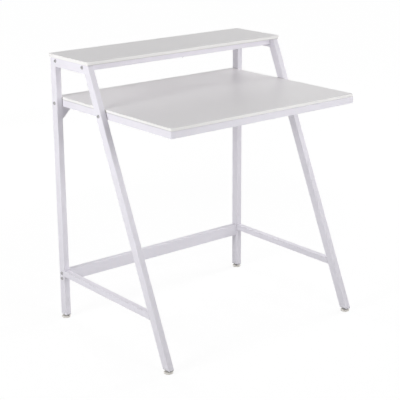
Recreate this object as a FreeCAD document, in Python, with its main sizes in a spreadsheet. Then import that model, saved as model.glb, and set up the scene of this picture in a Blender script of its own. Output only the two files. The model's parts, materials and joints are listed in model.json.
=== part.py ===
"""Ladder desk: two welded side frames of steel tube, with a desktop and a shelf bolted between them.

Millimetres. +X is the desk's right, +Y its back and +Z is up. The origin is on the floor, at the middle of
the desk's outline.
"""
import FreeCAD, Part
import math
import os
import re

import Sketcher

# Driving dimensions

SIZES = {
    # Side frames
    "frame_width": 783,  # over the outer faces of both side frames
    "floor_depth": 603.5,  # rear legs' rear face to the front legs' front face, at the floor
    "top_depth": 213,  # the same, under the shelf board
    "tube_thin": 20,  # tube of the side frames, across the desk
    "tube_wide": 29,  # the same tube, along the desk
    "tube_wall": 1.5,
    "tube_round": 1.5,
    "tube_end": 12,  # height of the legs' cut ends
    "low_rail_top": 170,
    "low_rail_tall": 20,
    "gusset_size": 50,
    "gusset_nose": 5,
    "gusset_plate": 4,
    # Rear crossbar
    "crossbar_tall": 40,
    "crossbar_deep": 20,
    "crossbar_bolt_spacing": 18.5,
    # Desktop
    "desk_height": 760,
    "desk_board": 9,
    "desk_depth": 598,
    "desk_tube": 22,
    "desk_round": 2,
    "desk_corner": 3,
    # Shelf
    "shelf_rise": 140,  # its top above the desktop
    "shelf_board": 11,
    "shelf_side_overhang": 4,
    "shelf_rear_overhang": 5,
    "shelf_front_overhang": 4.5,
    "shelf_corner": 4,
    "shelf_rail_spacing": 152,
    # Edge bands of both boards
    "band_thick": 1,
    "band_round": 0.6,
    # Bolts and their threaded pieces
    "bolt_diameter": 6,
    "bolt_length": 30,
    "bolt_tip": 0.8,
    "bolt_head": 11,
    "bolt_head_tall": 3.3,
    "bolt_head_round": 2,
    "bolt_socket": 4,
    "bolt_socket_deep": 2,
    "bolt_clearance": 0.3,
    "thread_fit": 0.05,
    "rivet_body": 9,
    "rivet_length": 13,
    "rivet_flange": 1.5,
    "rivet_flange_diameter": 13,
    "end_plate": 3,
    "end_plate_boss": 10,
    "end_plate_boss_tall": 4,
    "end_plate_fit": 0.1,
    # Screws that hold the boards
    "screw_diameter": 4,
    "screw_bite": 6,
    "screw_spare": 0.6,
    "screw_tip": 1.2,
    "screw_head": 8,
    "screw_head_tall": 2.6,
    "screw_head_flat": 5,
    "screw_access": 10,
    "screw_share": 0.36,
    "washer_diameter": 12,
    "washer_thick": 1.2,
    # Levelling feet
    "pad_diameter": 29,
    "pad_top": 24,
    "pad_tall": 6,
    "pad_rim": 4.5,
    "pad_edge": 0.8,
    "stem_diameter": 6,
    "stem_seat": 2,
    "stem_top": 30,
    "stem_clearance": 0.3,
    "thread_pitch": 1,
    "thread_deep": 0.4,
    "plug_tall": 16,
    "plug_flange": 1.2,
    "plug_inset": 0.8,
    "plug_fit": 0.1,
    # How far a cut runs past what it cuts
    "overrun": 1,
}

# Heights and places that follow from the driving dimensions

DERIVED = {
    "frame_top": "desk_height + shelf_rise - shelf_board",
    "slope": "(floor_depth - top_depth) / frame_top",
    "slant": "sqrt(1 + slope ^ 2)",
    "rear_face": "(floor_depth - slope * tube_end - shelf_rear_overhang) / 2",
    "rear_leg_front": "rear_face - tube_wide",
    "rear_leg_middle": "rear_face - tube_wide / 2",
    "corner_height": "frame_top - tube_wide",
    "inner_width": "frame_width - 2 * tube_thin",
    "low_rail_bottom": "low_rail_top - low_rail_tall",
    "crossbar_middle": "low_rail_top - crossbar_tall / 2",
    "shelf_width": "frame_width + 2 * shelf_side_overhang",
    "shelf_depth": "shelf_rear_overhang + top_depth + shelf_front_overhang",
    "shelf_middle": "rear_face + shelf_rear_overhang - shelf_depth / 2",
    "shelf_rail_height": "frame_top - tube_thin / 2",
    "desk_width": "inner_width - 2 * rivet_flange",
    "desk_front": "rear_face - desk_depth",
    "desk_middle": "rear_face - desk_depth / 2",
    "desk_rail_top": "desk_height - desk_board",
    "desk_rail_height": "desk_rail_top - desk_tube / 2",
    "desk_rail_bottom": "desk_rail_top - desk_tube",
    "desk_rear_rail": "rear_face - desk_tube / 2",
    "hole_diameter": "bolt_diameter + 2 * bolt_clearance",
    "thread_hole": "bolt_diameter + 2 * thread_fit",
    "pilot_diameter": "screw_diameter + 2 * thread_fit",
    "pilot_deep": "screw_bite + screw_spare",
    "plug_bottom": "tube_end - plug_flange",
    "plug_top": "tube_end + plug_tall",
}

SIDES = {"left": "-", "right": "+"}
ENDS = {"rear": "+", "front": "-"}
BOTH = ("+", "-")


def leg_front(height):
    """Y of the front legs' front face at a height."""
    return f"(rear_face - top_depth - slope * (frame_top - ({height})))"


def leg_back(height):
    """Y of the front legs' rear face at a height."""
    return f"({leg_front(height)} + tube_wide * slant)"


def leg_middle(height):
    """Y of the front legs' centre line at a height."""
    return f"({leg_front(height)} + tube_wide * slant / 2)"


# The document, its sheet of sizes and the ties between the two

doc = FreeCAD.newDocument("LadderDesk")
sheet = doc.addObject("Spreadsheet::Sheet", "Sizes")
for row, (alias, size) in enumerate(SIZES.items(), 1):
    sheet.set(f"A{row}", alias)
    sheet.set(f"B{row}", str(size))
    sheet.setAlias(f"B{row}", alias)
doc.recompute()

nodes = []


def formula(text):
    """An expression in which each size is read from the sheet and each derived place is written out."""
    def written_out(match):
        word = match.group(0)
        if word in DERIVED:
            return f"({formula(DERIVED[word])})"
        return f"Sizes.{word}" if word in SIZES else word

    return re.sub(r"[a-z_]+", written_out, text)


def value(text):
    return float(sheet.evalExpression(formula(text)))


def bind(thing, path, text):
    thing.setExpression(path, formula(text))


def place(thing, x="0", y="0", z="0", axis=None, angle=0):
    """Put a piece at a place, turned by a fixed angle about an axis."""
    if axis:
        thing.Placement = FreeCAD.Placement(FreeCAD.Vector(), FreeCAD.Rotation(axis, angle))
    for name, text in zip("xyz", (x, y, z)):
        bind(thing, f"Placement.Base.{name}", text)


def new_body(label, x="0", y="0", z="0"):
    body = doc.addObject("PartDesign::Body", label)
    body.Label = label
    place(body, x, y, z)
    return body


def new_node(label, x="0", y="0", z="0"):
    body = new_body(label, x, y, z)
    nodes.append(body)
    return body


# Sketches

def new_sketch(body, plane, offset="0"):
    """A sketch on one of the body's own planes, moved along the plane's normal."""
    sketch = body.newObject("Sketcher::SketchObject", f"{body.Name}_sketch")
    support = next(feature for feature in body.Origin.OriginFeatures if feature.Role == plane)
    sketch.AttachmentSupport = [(support, "")]
    sketch.MapMode = "FlatFace"
    bind(sketch, "AttachmentOffset.Base.z", offset)
    return sketch


def dimension(sketch, kind, *references, text):
    """A dimension of a sketch that follows an expression."""
    index = sketch.addConstraint(Sketcher.Constraint(kind, *references, value(text)))
    bind(sketch, f"Constraints[{index}]", text)


def locate(sketch, geometry, point, x, y):
    """Hold a point of a sketch at a place measured from the sketch's origin."""
    for text, axis, kind in ((x, -2, "DistanceX"), (y, -1, "DistanceY")):
        if text == "0":
            sketch.addConstraint(Sketcher.Constraint("PointOnObject", geometry, point, axis))
        else:
            dimension(sketch, kind, -1, 1, geometry, point, text=text)


def polygon(sketch, points):
    """A closed outline of straight lines through named places."""
    corners = [FreeCAD.Vector(value(x), value(y), 0) for x, y in points]
    count = len(points)
    first = sketch.GeometryCount
    for index, corner in enumerate(corners):
        sketch.addGeometry(Part.LineSegment(corner, corners[(index + 1) % count]))
    for index in range(count):
        following = first + (index + 1) % count
        sketch.addConstraint(Sketcher.Constraint("Coincident", first + index, 2, following, 1))
    for index, (x, y) in enumerate(points):
        locate(sketch, first + index, 1, x, y)


def circles(sketch, places, diameter):
    for x, y in places:
        centre = FreeCAD.Vector(value(x), value(y), 0)
        circle = sketch.addGeometry(Part.Circle(centre, FreeCAD.Vector(0, 0, 1), value(diameter) / 2))
        locate(sketch, circle, 3, x, y)
        dimension(sketch, "Diameter", circle, text=diameter)


def rounded_rectangle(sketch, wide, deep, radius):
    """A rectangle about the sketch's origin whose corners are arcs."""
    half_wide, half_deep, bend = value(wide) / 2, value(deep) / 2, value(radius)
    corners = []
    for quarter, (right, back) in enumerate(((1, -1), (1, 1), (-1, 1), (-1, -1))):
        centre = FreeCAD.Vector(right * (half_wide - bend), back * (half_deep - bend), 0)
        circle = Part.Circle(centre, FreeCAD.Vector(0, 0, 1), bend)
        start = (quarter - 1) * math.pi / 2
        corners.append(Part.ArcOfCircle(circle, start, start + math.pi / 2))
    arcs = [sketch.addGeometry(corner) for corner in corners]
    lines = []
    for index in range(4):
        following = (index + 1) % 4
        line = sketch.addGeometry(Part.LineSegment(corners[index].EndPoint, corners[following].StartPoint))
        sketch.addConstraint(Sketcher.Constraint("Tangent", arcs[index], 2, line, 1))
        sketch.addConstraint(Sketcher.Constraint("Tangent", line, 2, arcs[following], 1))
        sketch.addConstraint(Sketcher.Constraint("Horizontal" if index % 2 else "Vertical", line))
        lines.append(line)
    for arc in arcs[1:]:
        sketch.addConstraint(Sketcher.Constraint("Equal", arcs[0], arc))
    sketch.addConstraint(Sketcher.Constraint("Symmetric", arcs[3], 3, arcs[1], 3, -1, 1))
    dimension(sketch, "Radius", arcs[0], text=radius)
    dimension(sketch, "DistanceX", lines[2], 1, lines[0], 1, text=wide)
    dimension(sketch, "DistanceY", lines[3], 1, lines[1], 1, text=deep)


# Features

def extrude(body, kind, sketch, length, side="Symmetric"):
    feature = body.newObject(f"PartDesign::{kind}", f"{body.Name}_{kind.lower()}")
    feature.Profile = sketch
    feature.SideType = side
    bind(feature, "Length", length)
    doc.recompute()
    return feature


def drill(body, plane, places, diameter):
    """Round holes right through a body."""
    sketch = new_sketch(body, plane)
    circles(sketch, places, diameter)
    feature = body.newObject("PartDesign::Pocket", f"{body.Name}_holes")
    feature.Profile = sketch
    feature.Type = "ThroughAll"
    feature.SideType = "Symmetric"
    doc.recompute()


def sink(body, plane, offset, places, diameter, deep):
    """Round holes of one depth on both sides of a plane."""
    sketch = new_sketch(body, plane, offset)
    circles(sketch, places, diameter)
    extrude(body, "Pocket", sketch, f"2 * ({deep})")


def turn(body, points, kind="Revolution"):
    """A round form: an outline in the XZ plane, turned about Z."""
    sketch = new_sketch(body, "XZ_Plane")
    polygon(sketch, points)
    feature = body.newObject(f"PartDesign::{kind}", f"{body.Name}_{kind.lower()}")
    feature.Profile = sketch
    feature.ReferenceAxis = (sketch, ["V_Axis"])
    feature.Angle = 360
    doc.recompute()
    return feature


def round_edges(body, feature, radius, chosen):
    """Round the edges of a body's last feature that a test picks out."""
    edges = [f"Edge{index}" for index, edge in enumerate(feature.Shape.Edges, 1) if chosen(edge)]
    fillet = body.newObject("PartDesign::Fillet", f"{body.Name}_round")
    fillet.Base = (feature, edges)
    bind(fillet, "Radius", radius)
    doc.recompute()
    return fillet


def along(direction):
    """A test for straight edges along a direction."""
    def chosen(edge):
        straight = edge.Curve.TypeId == "Part::GeomLine"
        return straight and edge.tangentAt(edge.FirstParameter).cross(direction).Length < 1e-6

    return chosen


def tube(label, plane, outline, cavity, across, radius, x="0", y="0", z="0"):
    """A tube with cut ends. The outline's first side runs along it; the cavity runs past both ends."""
    body = new_node(label, x, y, z)
    outer = new_sketch(body, plane)
    polygon(outer, outline)
    pad = extrude(body, "Pad", outer, across)
    start, end = (FreeCAD.Vector(value(u), value(v), 0) for u, v in outline[:2])
    direction = outer.Placement.Rotation.multVec(end - start).normalize()
    round_edges(body, pad, radius, along(direction))
    inner = new_sketch(body, plane)
    polygon(inner, cavity)
    extrude(body, "Pocket", inner, f"{across} - 2 * tube_wall")
    return body


def group(label, piece, places):
    """Identical fasteners as one node: copies of a piece at (x, y, z), each turned about Y by an angle."""
    links = []
    for x, y, z, angle in places:
        link = doc.addObject("App::Link", f"{label}_place")
        link.LinkedObject = piece
        place(link, x, y, z, FreeCAD.Vector(0, 1, 0), angle)
        links.append(link)
    compound = doc.addObject("Part::Compound", label)
    compound.Label = label
    compound.Links = links
    doc.recompute()
    nodes.append(compound)


# Where the bolts go, as (y, z) on the side frames

shelf_bolts = [(f"shelf_middle {sign} shelf_rail_spacing / 2", "shelf_rail_height") for sign in BOTH]
rear_desk_bolt = ("rear_leg_middle", "desk_rail_height")
front_desk_bolt = (leg_middle("desk_rail_height"), "desk_rail_height")
desk_bolts = [rear_desk_bolt, front_desk_bolt]
crossbar_bolts = [("rear_leg_middle", f"crossbar_middle {sign} crossbar_bolt_spacing / 2") for sign in BOTH]


# Side frames

def rear_leg(side, x):
    outline = [
        ("rear_face", "tube_end"),
        ("rear_face", "frame_top"),
        ("rear_leg_front", "corner_height"),
        ("rear_leg_front", "tube_end"),
    ]
    low, high = "tube_end - overrun", "frame_top + overrun"
    back, front = "rear_face - tube_wall", "rear_leg_front + tube_wall"
    cavity = [(back, low), (back, high), (front, high), (front, low)]
    leg = tube(f"rear_leg_{side}", "YZ_Plane", outline, cavity, "tube_thin", "tube_round", x)
    drill(leg, "YZ_Plane", [rear_desk_bolt] + crossbar_bolts, "hole_diameter")


def front_leg(side, x):
    outline = [
        (leg_front("tube_end"), "tube_end"),
        (leg_front("frame_top"), "frame_top"),
        (leg_back("corner_height"), "corner_height"),
        (leg_back("tube_end"), "tube_end"),
    ]
    low, high = "tube_end - overrun", "frame_top + overrun"
    cavity = [
        (f"{leg_front(low)} + tube_wall * slant", low),
        (f"{leg_front(high)} + tube_wall * slant", high),
        (f"{leg_back(high)} - tube_wall * slant", high),
        (f"{leg_back(low)} - tube_wall * slant", low),
    ]
    leg = tube(f"front_leg_{side}", "YZ_Plane", outline, cavity, "tube_thin", "tube_round", x)
    drill(leg, "YZ_Plane", [front_desk_bolt], "hole_diameter")


def top_rail(side, x):
    outline = [
        ("rear_face", "frame_top"),
        (leg_front("frame_top"), "frame_top"),
        (leg_back("corner_height"), "corner_height"),
        ("rear_leg_front", "corner_height"),
    ]
    low, high = "corner_height + tube_wall", "frame_top - tube_wall"
    back, front = "rear_face + overrun", f"{leg_front('corner_height')} - overrun"
    cavity = [(back, high), (front, high), (front, low), (back, low)]
    rail = tube(f"top_rail_{side}", "YZ_Plane", outline, cavity, "tube_thin", "tube_round", x)
    drill(rail, "YZ_Plane", shelf_bolts, "hole_diameter")


def low_rail(side, x):
    outline = [
        ("rear_leg_front", "low_rail_top"),
        (leg_back("low_rail_top"), "low_rail_top"),
        (leg_back("low_rail_bottom"), "low_rail_bottom"),
        ("rear_leg_front", "low_rail_bottom"),
    ]
    low, high = "low_rail_bottom + tube_wall", "low_rail_top - tube_wall"
    back, front = "rear_leg_front + overrun", f"{leg_back('low_rail_bottom')} - overrun"
    cavity = [(back, high), (front, high), (front, low), (back, low)]
    tube(f"low_rail_{side}", "YZ_Plane", outline, cavity, "tube_thin", "tube_round", x)


def gusset(side, sign):
    """A plate with blunt noses, in the corner below the desktop's rear rail."""
    body = new_node(f"gusset_{side}", y="desk_rear_rail")
    leg_side = f"{sign}inner_width / 2"
    far_side = f"{sign}(inner_width / 2 - gusset_size)"
    nose_side = f"{sign}(inner_width / 2 - gusset_nose)"
    top, bottom = "desk_rail_bottom", "desk_rail_bottom - gusset_size"
    sketch = new_sketch(body, "XZ_Plane")
    polygon(sketch, [
        (leg_side, top),
        (far_side, top),
        (far_side, "desk_rail_bottom - gusset_nose"),
        (nose_side, bottom),
        (leg_side, bottom),
    ])
    extrude(body, "Pad", sketch, "gusset_plate")


for side, sign in SIDES.items():
    frame_middle = f"{sign}(frame_width - tube_thin) / 2"
    rear_leg(side, frame_middle)
    front_leg(side, frame_middle)
    top_rail(side, frame_middle)
    low_rail(side, frame_middle)
    gusset(side, sign)


# Rails across the desk and their threaded ends

def cross_tube(label, length, deep, tall, radius, y, z):
    """A tube along X with square ends."""
    half, half_deep = f"({length}) / 2", f"({deep}) / 2"
    past, half_hollow = f"({length}) / 2 + overrun", f"({deep}) / 2 - tube_wall"
    outline = [
        (f"-{half}", f"-{half_deep}"),
        (half, f"-{half_deep}"),
        (half, half_deep),
        (f"-{half}", half_deep),
    ]
    cavity = [
        (f"-({past})", f"-({half_hollow})"),
        (past, f"-({half_hollow})"),
        (past, half_hollow),
        (f"-({past})", half_hollow),
    ]
    return tube(label, "XY_Plane", outline, cavity, tall, radius, y=y, z=z)


def end_plate(label, sign, deep, tall, y, z, holes):
    """A plate flush with a tube's end, with a threaded boss behind each of its holes, at (y, z)."""
    body = new_node(label, f"{sign}inner_width / 2", y, z)
    plate = new_sketch(body, "YZ_Plane")
    wide = f"{deep} - 2 * tube_wall - 2 * end_plate_fit"
    high = f"{tall} - 2 * tube_wall - 2 * end_plate_fit"
    half_wide, half_high = f"({wide}) / 2", f"({high}) / 2"
    polygon(plate, [
        (f"-{half_wide}", f"-{half_high}"),
        (half_wide, f"-{half_high}"),
        (half_wide, half_high),
        (f"-{half_wide}", half_high),
    ])
    inwards = sign == "+"
    pad = extrude(body, "Pad", plate, "end_plate", "One side")
    pad.Reversed = inwards
    boss = new_sketch(body, "YZ_Plane")
    circles(boss, holes, "end_plate_boss")
    pad = extrude(body, "Pad", boss, "end_plate + end_plate_boss_tall", "One side")
    pad.Reversed = inwards
    doc.recompute()
    drill(body, "YZ_Plane", holes, "thread_hole")


def screw_holes(rail, places, tall):
    """Small holes in a rail's upper wall, and wide ones below them that let the screws in."""
    sink(rail, "XY_Plane", f"{tall} / 2", places, "pilot_diameter", "tube_wall + overrun")
    sink(rail, "XY_Plane", f"-{tall} / 2", places, "screw_access", "tube_wall + overrun")


cross_tube("rear_crossbar", "inner_width", "crossbar_deep", "crossbar_tall", "tube_round", "rear_leg_middle",
           "crossbar_middle")
for side, sign in SIDES.items():
    pair = [("0", f"{way}crossbar_bolt_spacing / 2") for way in BOTH]
    end_plate(f"crossbar_end_plate_{side}", sign, "crossbar_deep", "crossbar_tall", "rear_leg_middle",
              "crossbar_middle", pair)

shelf_rail_screws = [(f"{way}screw_share * inner_width", "0") for way in BOTH]
for end, sign in ENDS.items():
    rail_place = f"shelf_middle {sign} shelf_rail_spacing / 2"
    rail = cross_tube(f"shelf_rail_{end}", "inner_width", "tube_wide", "tube_thin", "tube_round", rail_place,
                      "shelf_rail_height")
    screw_holes(rail, shelf_rail_screws, "tube_thin")
    drill(rail, "XY_Plane", [("0", "0")], "pilot_diameter")
    for side, side_sign in SIDES.items():
        end_plate(f"shelf_end_plate_{end}_{side}", side_sign, "tube_wide", "tube_thin", rail_place,
                  "shelf_rail_height", [("0", "0")])


# Desktop rails, mitred at the corners

def desk_side_rail(side, sign):
    outer, inner = f"{sign}desk_width / 2", f"{sign}(desk_width / 2 - desk_tube)"
    outline = [
        (outer, "rear_face"),
        (outer, "desk_front"),
        (inner, "desk_front + desk_tube"),
        (inner, "rear_face - desk_tube"),
    ]
    back, front = "rear_face + overrun", "desk_front - overrun"
    wall_out = f"{sign}(desk_width / 2 - tube_wall)"
    wall_in = f"{sign}(desk_width / 2 - desk_tube + tube_wall)"
    cavity = [(wall_out, back), (wall_out, front), (wall_in, front), (wall_in, back)]
    rail = tube(f"desk_rail_{side}", "XY_Plane", outline, cavity, "desk_tube", "desk_round",
                z="desk_rail_height")
    holes = [(y, "0") for y, _ in desk_bolts]
    sink(rail, "YZ_Plane", outer, holes, "rivet_body + 2 * thread_fit", "tube_wall + overrun")
    middle = f"{sign}(desk_width - desk_tube) / 2"
    screw_holes(rail, [(middle, f"desk_middle {way} screw_share * desk_depth") for way in BOTH], "desk_tube")


def desk_end_rail(end, sign):
    half, half_inner = "desk_width / 2", "(desk_width / 2 - desk_tube)"
    outer = f"desk_middle {sign} desk_depth / 2"
    inner = f"desk_middle {sign} (desk_depth / 2 - desk_tube)"
    outline = [(f"-{half}", outer), (half, outer), (half_inner, inner), (f"-{half_inner}", inner)]
    wall_out = f"desk_middle {sign} (desk_depth / 2 - tube_wall)"
    wall_in = f"desk_middle {sign} (desk_depth / 2 - desk_tube + tube_wall)"
    past = "(desk_width / 2 + overrun)"
    cavity = [(f"-{past}", wall_out), (past, wall_out), (past, wall_in), (f"-{past}", wall_in)]
    rail = tube(f"desk_rail_{end}", "XY_Plane", outline, cavity, "desk_tube", "desk_round",
                z="desk_rail_height")
    middle = f"desk_middle {sign} (desk_depth - desk_tube) / 2"
    screw_holes(rail, [(f"{way}screw_share * desk_width", middle) for way in BOTH], "desk_tube")


for side, sign in SIDES.items():
    desk_side_rail(side, sign)
for end, sign in ENDS.items():
    desk_end_rail(end, sign)
middle_rail = cross_tube("desk_rail_middle", "desk_width - 2 * desk_tube", "desk_tube", "desk_tube",
                         "desk_round", leg_middle("desk_rail_height"), "desk_rail_height")
screw_holes(middle_rail, [(f"{way}screw_share * desk_width", "0") for way in BOTH], "desk_tube")

# Where the screws go, as (x, y) under each board

shelf_end_screws = [
    (f"{way}screw_share * inner_width", f"shelf_middle {sign} shelf_rail_spacing / 2")
    for way in BOTH for sign in BOTH
]
shelf_centre_screws = [("0", f"shelf_middle {sign} shelf_rail_spacing / 2") for sign in BOTH]
desk_screws = []
for way in BOTH:
    end_x, side_x = f"{way}screw_share * desk_width", f"{way}(desk_width - desk_tube) / 2"
    for sign in BOTH:
        desk_screws.append((end_x, f"desk_middle {sign} (desk_depth - desk_tube) / 2"))
        desk_screws.append((side_x, f"desk_middle {sign} screw_share * desk_depth"))
    desk_screws.append((end_x, leg_middle("desk_rail_height")))


# Boards and their edge bands

def board(name, wide, deep, thick, corner, y, z, screws):
    """A board with screw holes from below, and the band round its edge."""
    core = new_node(f"{name}_board", y=y, z=z)
    core_wide, core_deep = f"{wide} - 2 * band_thick", f"{deep} - 2 * band_thick"
    outline = new_sketch(core, "XY_Plane")
    rounded_rectangle(outline, core_wide, core_deep, f"{corner} - band_thick")
    extrude(core, "Pad", outline, thick, "One side")
    sink(core, "XY_Plane", "0", [(x, f"{place_y} - ({y})") for x, place_y in screws], "pilot_diameter",
         "pilot_deep")
    band = new_node(f"{name}_edge_band", y=y, z=z)
    outline = new_sketch(band, "XY_Plane")
    rounded_rectangle(outline, wide, deep, corner)
    slab = extrude(band, "Pad", outline, thick, "One side")
    vertical = along(FreeCAD.Vector(0, 0, 1))
    round_edges(band, slab, "band_round", lambda edge: not vertical(edge))
    hollow = new_sketch(band, "XY_Plane")
    rounded_rectangle(hollow, core_wide, core_deep, f"{corner} - band_thick")
    extrude(band, "Pocket", hollow, f"2 * ({thick} + overrun)")


board("shelf", "shelf_width", "shelf_depth", "shelf_board", "shelf_corner", "shelf_middle", "frame_top",
      shelf_end_screws + shelf_centre_screws)
board("desk", "desk_width", "desk_depth", "desk_board", "desk_corner", "desk_middle", "desk_rail_top",
      desk_screws)


# Fasteners: one of each kind, then groups of copies

def bolt():
    """A button-head bolt along Z, with its head below the origin and a hexagon socket in it."""
    body = new_body("bolt")
    shank, head = "bolt_diameter / 2", "bolt_head / 2"
    form = turn(body, [
        ("0", "-bolt_head_tall"),
        (head, "-bolt_head_tall"),
        (head, "0"),
        (shank, "0"),
        (shank, "bolt_length - bolt_tip"),
        (f"{shank} - bolt_tip", "bolt_length"),
        ("0", "bolt_length"),
    ])
    crown = -value("bolt_head_tall")
    form = round_edges(body, form, "bolt_head_round", lambda edge: abs(edge.CenterOfMass.z - crown) < 1e-6
                       and edge.Curve.TypeId == "Part::GeomCircle")
    socket = new_sketch(body, "XY_Plane", "-bolt_head_tall")
    side, tip = "bolt_socket / 2", "bolt_socket / sqrt(3)"
    polygon(socket, [
        ("0", f"-{tip}"),
        (side, f"-{tip} / 2"),
        (side, f"{tip} / 2"),
        ("0", tip),
        (f"-{side}", f"{tip} / 2"),
        (f"-{side}", f"-{tip} / 2"),
    ])
    extrude(body, "Pocket", socket, "2 * bolt_socket_deep")
    return body


def rivet_nut():
    """A threaded sleeve along Z, with its flange below the origin."""
    body = new_body("rivet_nut")
    bore, sleeve, flange = "thread_hole / 2", "rivet_body / 2", "rivet_flange_diameter / 2"
    turn(body, [
        (bore, "-rivet_flange"),
        (flange, "-rivet_flange"),
        (flange, "0"),
        (sleeve, "0"),
        (sleeve, "rivet_length"),
        (bore, "rivet_length"),
    ])
    return body


def board_screw(label, length, washer):
    """A pan-head screw along Z, pointing up, that bears at the origin, with or without a washer."""
    body = new_body(label)
    shank, head, flat = "screw_diameter / 2", "screw_head / 2", "screw_head_flat / 2"
    seat, ring = "0", [(head, "0")]
    if washer:
        seat, rim = "-washer_thick", "washer_diameter / 2"
        ring = [(head, seat), (rim, seat), (rim, "0")]
    turn(body, [
        ("0", f"{seat} - screw_head_tall"),
        (flat, f"{seat} - screw_head_tall"),
        (head, f"{seat} - screw_head_tall / 2"),
        *ring,
        (shank, "0"),
        (shank, f"{length} - screw_tip"),
        ("0", length),
    ])
    return body


def side_places(places, half_width):
    """Places on both sides of the desk, pointing inwards."""
    return [(f"-({half_width})", y, z, 90) for y, z in places] + [(half_width, y, z, -90) for y, z in places]


frame_bolt = bolt()
group("shelf_bolts", frame_bolt, side_places(shelf_bolts, "frame_width / 2"))
group("desk_bolts", frame_bolt, side_places(desk_bolts, "frame_width / 2"))
group("crossbar_bolts", frame_bolt, side_places(crossbar_bolts, "frame_width / 2"))
group("rivet_nuts", rivet_nut(), side_places(desk_bolts, "desk_width / 2"))

short_screw = board_screw("short_screw", "tube_wall + screw_bite", False)
long_screw = board_screw("long_screw", "tube_thin + screw_bite", True)
group("shelf_end_screws", short_screw, [(x, y, "frame_top - tube_wall", 0) for x, y in shelf_end_screws])
group("shelf_centre_screws", long_screw, [(x, y, "frame_top - tube_thin", 0) for x, y in shelf_centre_screws])
group("desk_screws", short_screw, [(x, y, "desk_rail_top - tube_wall", 0) for x, y in desk_screws])


# Feet

def leg_plug(name, x, y, front, back, run):
    """A plug in a leg's end: a block that fits the tube's inside, a flange below it and an upright bore."""
    body = new_node(f"leg_plug_{name}", x)
    block = new_sketch(body, "YZ_Plane")
    gap = f"(tube_wall + plug_fit) * {run}"
    polygon(block, [
        (f"{front('plug_bottom')} + {gap}", "plug_bottom"),
        (f"{back('plug_bottom')} - {gap}", "plug_bottom"),
        (f"{back('plug_top')} - {gap}", "plug_top"),
        (f"{front('plug_top')} + {gap}", "plug_top"),
    ])
    extrude(body, "Pad", block, "tube_thin - 2 * tube_wall - 2 * plug_fit")
    flange = new_sketch(body, "YZ_Plane")
    near, far = f"{front('tube_end')} + plug_inset", f"{back('tube_end')} - plug_inset"
    polygon(flange, [(near, "plug_bottom"), (far, "plug_bottom"), (far, "tube_end"), (near, "tube_end")])
    extrude(body, "Pad", flange, "tube_thin - 2 * plug_inset")
    bore = new_sketch(body, "XY_Plane")
    circles(bore, [("0", y)], "stem_diameter + 2 * stem_clearance")
    feature = extrude(body, "Pocket", bore, "plug_top + overrun", "One side")
    feature.Reversed = True
    doc.recompute()


def foot_stem(name, x, y):
    """A threaded stem whose lower end sits in the pad."""
    body = new_node(f"foot_stem_{name}", x, y)
    edge = "stem_diameter / 2"
    turn(body, [
        ("0", "stem_seat"),
        (edge, "stem_seat"),
        (edge, "stem_top - thread_deep"),
        (f"{edge} - thread_deep", "stem_top"),
        ("0", "stem_top"),
    ])
    first = "pad_tall + thread_pitch"
    root, past = f"{edge} - thread_deep", f"{edge} + thread_deep"
    groove = turn(body, [
        (root, f"{first} - thread_pitch / 8"),
        (past, f"{first} - thread_pitch / 2"),
        (past, f"{first} + thread_pitch / 2"),
        (root, f"{first} + thread_pitch / 8"),
    ], "Groove")
    rows = body.newObject("PartDesign::LinearPattern", f"{body.Name}_thread")
    rows.Originals = [groove]
    rows.Direction = (next(axis for axis in body.Origin.OriginFeatures if axis.Role == "Z_Axis"), [""])
    rows.Mode = "Spacing"
    bind(rows, "Offset", "thread_pitch")
    bind(rows, "Occurrences", f"floor((stem_top - {first}) / thread_pitch)")
    body.Tip = rows
    doc.recompute()


def foot_pad(name, x, y):
    """A round pad with a chamfered sole, a tapered shoulder and a seat for the stem."""
    body = new_node(f"foot_pad_{name}", x, y)
    edge, shoulder, stem = "pad_diameter / 2", "pad_top / 2", "stem_diameter / 2"
    turn(body, [
        ("0", "0"),
        (f"{edge} - pad_edge", "0"),
        (edge, "pad_edge"),
        (edge, "pad_rim"),
        (shoulder, "pad_tall"),
        (stem, "pad_tall"),
        (stem, "stem_seat"),
        ("0", "stem_seat"),
    ])


for side, sign in SIDES.items():
    frame_middle = f"{sign}(frame_width - tube_thin) / 2"
    foot_y = leg_middle("tube_end")
    leg_plug(f"rear_{side}", frame_middle, "rear_leg_middle", lambda height: "rear_leg_front",
             lambda height: "rear_face", "1")
    leg_plug(f"front_{side}", frame_middle, foot_y, leg_front, leg_back, "slant")
    for end, y in (("rear", "rear_leg_middle"), ("front", foot_y)):
        foot_stem(f"{end}_{side}", frame_middle, y)
        foot_pad(f"{end}_{side}", frame_middle, y)


# Check every object, then write the nodes

doc.recompute()
for item in doc.Objects:
    if {"Invalid", "Error"} & set(item.State):
        raise RuntimeError(f"{item.Label}: {item.State}")
for node in nodes:
    if node.Shape.isNull() or not node.Shape.isValid():
        raise RuntimeError(f"{node.Label}: bad shape")

os.makedirs("parts", exist_ok=True)
for node in nodes:
    node.Shape.exportStep(f"parts/{node.Label}.step")
print(f"{len(nodes)} nodes written")
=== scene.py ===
import json
import math

import bpy
from mathutils import Matrix, Vector


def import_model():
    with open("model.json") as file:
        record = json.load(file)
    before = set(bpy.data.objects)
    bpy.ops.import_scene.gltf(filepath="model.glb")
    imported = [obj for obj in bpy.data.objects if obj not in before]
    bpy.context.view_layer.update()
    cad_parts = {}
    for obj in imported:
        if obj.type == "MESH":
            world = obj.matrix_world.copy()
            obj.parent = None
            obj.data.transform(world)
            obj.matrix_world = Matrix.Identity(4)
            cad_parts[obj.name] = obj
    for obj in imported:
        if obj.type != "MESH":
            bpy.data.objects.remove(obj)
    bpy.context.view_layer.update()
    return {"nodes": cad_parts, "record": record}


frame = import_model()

nodes = frame["nodes"]
slots = {entry["node"]: entry["material_slot"] for entry in frame["record"]["subparts"]}


# Nodes that the materials share

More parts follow.
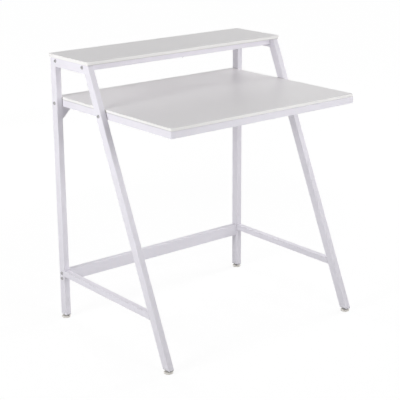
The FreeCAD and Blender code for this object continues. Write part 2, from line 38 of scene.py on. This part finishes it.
def shader(name, colour, roughness, **sockets):
    """A new material, with plain values on its shader's sockets."""
    material = bpy.data.materials.new(name)
    material.use_nodes = True
    tree = material.node_tree
    principled = tree.nodes["Principled BSDF"]
    principled.inputs["Base Color"].default_value = (*colour, 1.0)
    principled.inputs["Roughness"].default_value = roughness
    for socket, value in sockets.items():
        principled.inputs[socket.replace("_", " ")].default_value = value
    return material, tree, principled


def place_in_part(tree, stretch=(1.0, 1.0, 1.0)):
    """Coordinates of the part's own frame, in metres, stretched along its axes."""
    coordinates = tree.nodes.new("ShaderNodeTexCoord")
    mapping = tree.nodes.new("ShaderNodeMapping")
    mapping.inputs["Scale"].default_value = stretch
    tree.links.new(coordinates.outputs["Object"], mapping.inputs["Vector"])
    return mapping.outputs["Vector"]


def noise(tree, vector, per_metre):
    """Noise between 0 and 1, with so many blotches in a metre."""
    texture = tree.nodes.new("ShaderNodeTexNoise")
    texture.inputs["Scale"].default_value = per_metre
    texture.inputs["Detail"].default_value = 3.0
    tree.links.new(vector, texture.inputs["Vector"])
    return texture.outputs["Fac"]


def ramp(tree, value, low=0.0, high=1.0, start=0.3, end=0.7):
    """Go from low to high while a value goes from start to end, which by default takes in most of a noise."""
    node = tree.nodes.new("ShaderNodeMapRange")
    node.inputs["From Min"].default_value = start
    node.inputs["From Max"].default_value = end
    node.inputs["To Min"].default_value = low
    node.inputs["To Max"].default_value = high
    tree.links.new(value, node.inputs["Value"])
    return node.outputs["Result"]


def blend_colours(tree, factor, first, second):
    """Go from one colour to another, each a plain one or a socket's."""
    node = tree.nodes.new("ShaderNodeMix")
    node.data_type = "RGBA"
    inputs = {socket.identifier: socket for socket in node.inputs}
    for end, colour in (("A_Color", first), ("B_Color", second)):
        if isinstance(colour, tuple):
            inputs[end].default_value = (*colour, 1.0)
        else:
            tree.links.new(colour, inputs[end])
    tree.links.new(factor, inputs["Factor_Float"])
    return next(socket for socket in node.outputs if socket.identifier == "Result_Color")


def painted_crevice_shade(tree, colour, dark):
    """Darken a colour where another surface is within a few millimetres, as in seams and corners: painted shade,
    standing in for the light that does not reach there.
    """
    open_air = tree.nodes.new("ShaderNodeAmbientOcclusion")
    open_air.samples = 8
    open_air.inputs["Distance"].default_value = 0.005
    return blend_colours(tree, ramp(tree, open_air.outputs["AO"], start=0.35, end=0.85), dark, colour)


def bump(tree, principled, height, strength, distance):
    """Raise and lower the surface's light by a height, over a distance in metres."""
    node = tree.nodes.new("ShaderNodeBump")
    node.inputs["Strength"].default_value = strength
    node.inputs["Distance"].default_value = distance
    tree.links.new(height, node.inputs["Height"])
    tree.links.new(node.outputs["Normal"], principled.inputs["Normal"])


# Materials

def powder_coat():
    """White paint over steel, with the fine orange peel of a baked powder."""
    material, tree, principled = shader("powder_coat", (0.84, 0.82, 0.88), 0.42)
    where = place_in_part(tree)
    drift = noise(tree, where, per_metre=7.0)
    tint = blend_colours(tree, ramp(tree, drift), (0.83, 0.81, 0.87), (0.85, 0.83, 0.89))
    # Painted shade: the paint turns towards a darker grey in seams, slits and inner corners, where less light
    # reaches.
    tree.links.new(painted_crevice_shade(tree, tint, dark=(0.60, 0.58, 0.62)), principled.inputs["Base Color"])
    peel = noise(tree, where, per_metre=700.0)
    tree.links.new(ramp(tree, peel, 0.38, 0.47), principled.inputs["Roughness"])
    bump(tree, principled, peel, strength=0.05, distance=0.0003)
    return material


def laminate():
    """Satin white laminate with a fine embossed grain."""
    material, tree, principled = shader("laminate", (0.91, 0.89, 0.90), 0.34)
    where = place_in_part(tree)
    drift = noise(tree, where, per_metre=4.0)
    tint = blend_colours(tree, ramp(tree, drift), (0.90, 0.88, 0.89), (0.92, 0.90, 0.91))
    tree.links.new(tint, principled.inputs["Base Color"])
    grain = noise(tree, where, per_metre=1100.0)
    tree.links.new(ramp(tree, grain, 0.30, 0.38), principled.inputs["Roughness"])
    bump(tree, principled, grain, strength=0.06, distance=0.0003)
    return material


def edge_band(name, unshaded_axis):
    """White plastic strip with faint lines along the way it was drawn, and a painted grey shade line along its
    lower edge, standing in for the shadow in the seam where it sits on the rail.

    The faces that look along the given axis keep the plain strip colour, without the painted shade line or the
    painted seam shade.
    """
    material, tree, principled = shader(name, (0.905, 0.895, 0.885), 0.38)
    lines = noise(tree, place_in_part(tree, stretch=(2.0, 2.0, 900.0)), per_metre=1.0)
    tint = blend_colours(tree, ramp(tree, lines), (0.885, 0.875, 0.865), (0.925, 0.915, 0.905))
    coordinates = tree.nodes.new("ShaderNodeTexCoord")
    share = tree.nodes.new("ShaderNodeSeparateXYZ")
    tree.links.new(coordinates.outputs["Generated"], share.inputs["Vector"])
    # Painted shade: the lowest part of the strip is grey, and it is darkened further in the seam, for the shadow
    # between strip and rail.
    above_painted_shade_line = ramp(tree, share.outputs["Z"], start=0.08, end=0.24)
    painted_seam_shade = painted_crevice_shade(tree, blend_colours(tree, above_painted_shade_line, (0.66, 0.65, 0.65), tint), dark=(0.38, 0.37, 0.37))
    # Faces that look along the given axis are left without the painted shade, as no seam shadow shows there in
    # this light.
    facing = tree.nodes.new("ShaderNodeSeparateXYZ")
    tree.links.new(coordinates.outputs["Normal"], facing.inputs["Vector"])
    unshaded = tree.nodes.new("ShaderNodeMath")
    unshaded.operation = "ABSOLUTE"
    tree.links.new(facing.outputs[unshaded_axis], unshaded.inputs[0])
    tree.links.new(blend_colours(tree, unshaded.outputs["Value"], painted_seam_shade, tint), principled.inputs["Base Color"])
    tree.links.new(ramp(tree, lines, 0.34, 0.44), principled.inputs["Roughness"])
    bump(tree, principled, lines, strength=0.08, distance=0.0003)
    return material


def zinc_steel():
    """Zinc-plated steel with a cloudy plating."""
    material, tree, principled = shader("zinc_steel", (0.51, 0.51, 0.51), 0.35, Metallic=1.0)
    where = place_in_part(tree)
    cloud = noise(tree, where, per_metre=500.0)
    tint = blend_colours(tree, ramp(tree, cloud), (0.47, 0.47, 0.49), (0.55, 0.54, 0.53))
    tree.links.new(tint, principled.inputs["Base Color"])
    tree.links.new(ramp(tree, cloud, 0.28, 0.45), principled.inputs["Roughness"])
    bump(tree, principled, noise(tree, where, per_metre=3000.0), strength=0.1, distance=0.0002)
    return material


def moulded_plastic(name, dark, light, roughness):
    """Moulded plastic with a fine spark-eroded texture."""
    material, tree, principled = shader(name, light, roughness)
    where = place_in_part(tree)
    drift = noise(tree, where, per_metre=120.0)
    tree.links.new(blend_colours(tree, ramp(tree, drift), dark, light), principled.inputs["Base Color"])
    texture = noise(tree, where, per_metre=2500.0)
    tree.links.new(ramp(tree, texture, roughness - 0.06, roughness + 0.06), principled.inputs["Roughness"])
    bump(tree, principled, texture, strength=0.15, distance=0.0002)
    return material


materials = {
    "powder_coat": powder_coat(),
    "laminate": laminate(),
    "zinc_steel": zinc_steel(),
    "plug_plastic": moulded_plastic("plug_plastic", (0.05, 0.05, 0.055), (0.075, 0.075, 0.08), roughness=0.5),
    "pad_plastic": moulded_plastic("pad_plastic", (0.81, 0.78, 0.73), (0.87, 0.84, 0.79), roughness=0.45),
}
bands = {
    # The desk band's front and back faces and the shelf band's ends get no painted seam shade.
    "desk_edge_band": edge_band("desk_edge_band", unshaded_axis="Y"),
    "shelf_edge_band": edge_band("shelf_edge_band", unshaded_axis="X"),
}
for name, node in nodes.items():
    node.data.materials.clear()
    node.data.materials.append(bands[name] if name in bands else materials[slots[name]])


# Floor and light

WHITE = (1.0, 1.0, 1.0, 1.0)


def seen_directly(tree):
    """1 for rays from the camera, a mirror or glass, and 0 for light that scatters."""
    path = tree.nodes.new("ShaderNodeLightPath")
    total = path.outputs["Is Camera Ray"]
    for ray in ("Is Glossy Ray", "Is Transmission Ray"):
        either = tree.nodes.new("ShaderNodeMath")
        either.operation = "MAXIMUM"
        tree.links.new(total, either.inputs[0])
        tree.links.new(path.outputs[ray], either.inputs[1])
        total = either.outputs["Value"]
    return total


def floor(half, albedo, seen_albedo, glow_near, glow_far, near, far):
    """A wide white floor that looks white to the camera, also beyond the lamps' reach, and keeps shadows.

    Its glow, which only what sees it directly gets, goes from one strength to another between two distances
    from the origin.
    """
    mesh = bpy.data.meshes.new("floor")
    mesh.from_pydata([(-half, -half, 0), (half, -half, 0), (half, half, 0), (-half, half, 0)], [], [(0, 1, 2, 3)])
    plane = bpy.data.objects.new("floor", mesh)
    bpy.context.scene.collection.objects.link(plane)
    material = bpy.data.materials.new("studio_floor")
    material.use_nodes = True
    tree = material.node_tree
    tree.nodes.clear()
    output = tree.nodes.new("ShaderNodeOutputMaterial")
    both = tree.nodes.new("ShaderNodeAddShader")
    matt = tree.nodes.new("ShaderNodeBsdfDiffuse")
    seen = seen_directly(tree)
    tree.links.new(ramp(tree, seen, albedo, seen_albedo, start=0.0, end=1.0), matt.inputs["Color"])
    light = tree.nodes.new("ShaderNodeEmission")
    light.inputs["Color"].default_value = WHITE
    distance = tree.nodes.new("ShaderNodeVectorMath")
    distance.operation = "LENGTH"
    tree.links.new(place_in_part(tree), distance.inputs[0])
    glow = tree.nodes.new("ShaderNodeMath")
    glow.operation = "MULTIPLY"
    tree.links.new(ramp(tree, distance.outputs["Value"], glow_near, glow_far, start=near, end=far), glow.inputs[0])
    tree.links.new(seen, glow.inputs[1])
    tree.links.new(glow.outputs["Value"], light.inputs["Strength"])
    tree.links.new(matt.outputs["BSDF"], both.inputs[0])
    tree.links.new(light.outputs["Emission"], both.inputs[1])
    tree.links.new(both.outputs["Shader"], output.inputs["Surface"])
    mesh.materials.append(material)


def world(ambient):
    """Weak white light from all round, which looks white where it is seen directly."""
    scene_world = bpy.data.worlds.new("studio")
    bpy.context.scene.world = scene_world
    scene_world.use_nodes = True
    tree = scene_world.node_tree
    background = tree.nodes["Background"]
    background.inputs["Color"].default_value = WHITE
    strength = ramp(tree, seen_directly(tree), ambient, 1.0, start=0.0, end=1.0)
    tree.links.new(strength, background.inputs["Strength"])


def softbox(name, place, aim, size, power, spread=180.0):
    """A square lamp, not mirrored in glossy surfaces, that points at a height above the middle of the floor."""
    lamp = bpy.data.lights.new(name, "AREA")
    lamp.size = size
    lamp.energy = power
    lamp.spread = math.radians(spread)
    obj = bpy.data.objects.new(name, lamp)
    obj.visible_glossy = False
    bpy.context.scene.collection.objects.link(obj)
    obj.location = place
    obj.rotation_euler = (Vector((0, 0, aim)) - Vector(place)).to_track_quat("-Z", "Y").to_euler()


floor(half=12.0, albedo=0.7, seen_albedo=0.12, glow_near=0.90, glow_far=0.97, near=1.5, far=3.5)
world(ambient=0.20)
softbox("left_near", (-1.9, 0, 1.2), aim=0.5, size=0.7, power=13.8)
softbox("left_low", (-2.7, 0, 0.9), aim=0.9, size=0.9, power=2.9, spread=80.0)
softbox("front_near", (0, -1.9, 1.25), aim=0.5, size=0.7, power=7.8)
softbox("front_low", (0.3, -2.7, 0.9), aim=0.85, size=0.9, power=1.4, spread=54.0)
softbox("front_right", (1.77, -1.77, 1.5), aim=0.9, size=0.9, power=2.7, spread=80.0)
softbox("right", (2.7, 0, 1.2), aim=0.5, size=0.9, power=25.0)
softbox("right_high", (2.2, 0, 3.0), aim=0.75, size=1.0, power=13.0)
softbox("back", (0, 2.7, 1.2), aim=0.5, size=0.9, power=20.0)


# Camera

def camera(eye, azimuth, elevation, roll, lens):
    """The photograph's viewpoint: a place in metres, angles in degrees and a focal length in millimetres."""
    data = bpy.data.cameras.new("camera")
    data.sensor_width = 36.0
    data.lens = lens
    data.clip_end = 100.0
    obj = bpy.data.objects.new("camera", data)
    bpy.context.scene.collection.objects.link(obj)
    turned = Matrix.Rotation(math.radians(azimuth), 4, "Z")
    tilted = Matrix.Rotation(math.radians(90.0 - elevation), 4, "X")
    rolled = Matrix.Rotation(math.radians(roll), 4, "Z")
    obj.matrix_world = Matrix.Translation(eye) @ turned @ tilted @ rolled
    bpy.context.scene.camera = obj


camera(eye=(-2.295601, -2.807779, 1.525772), azimuth=-38.983, elevation=17.179, roll=-0.357, lens=103.2059)
bpy.context.scene.view_settings.view_transform = "Standard"
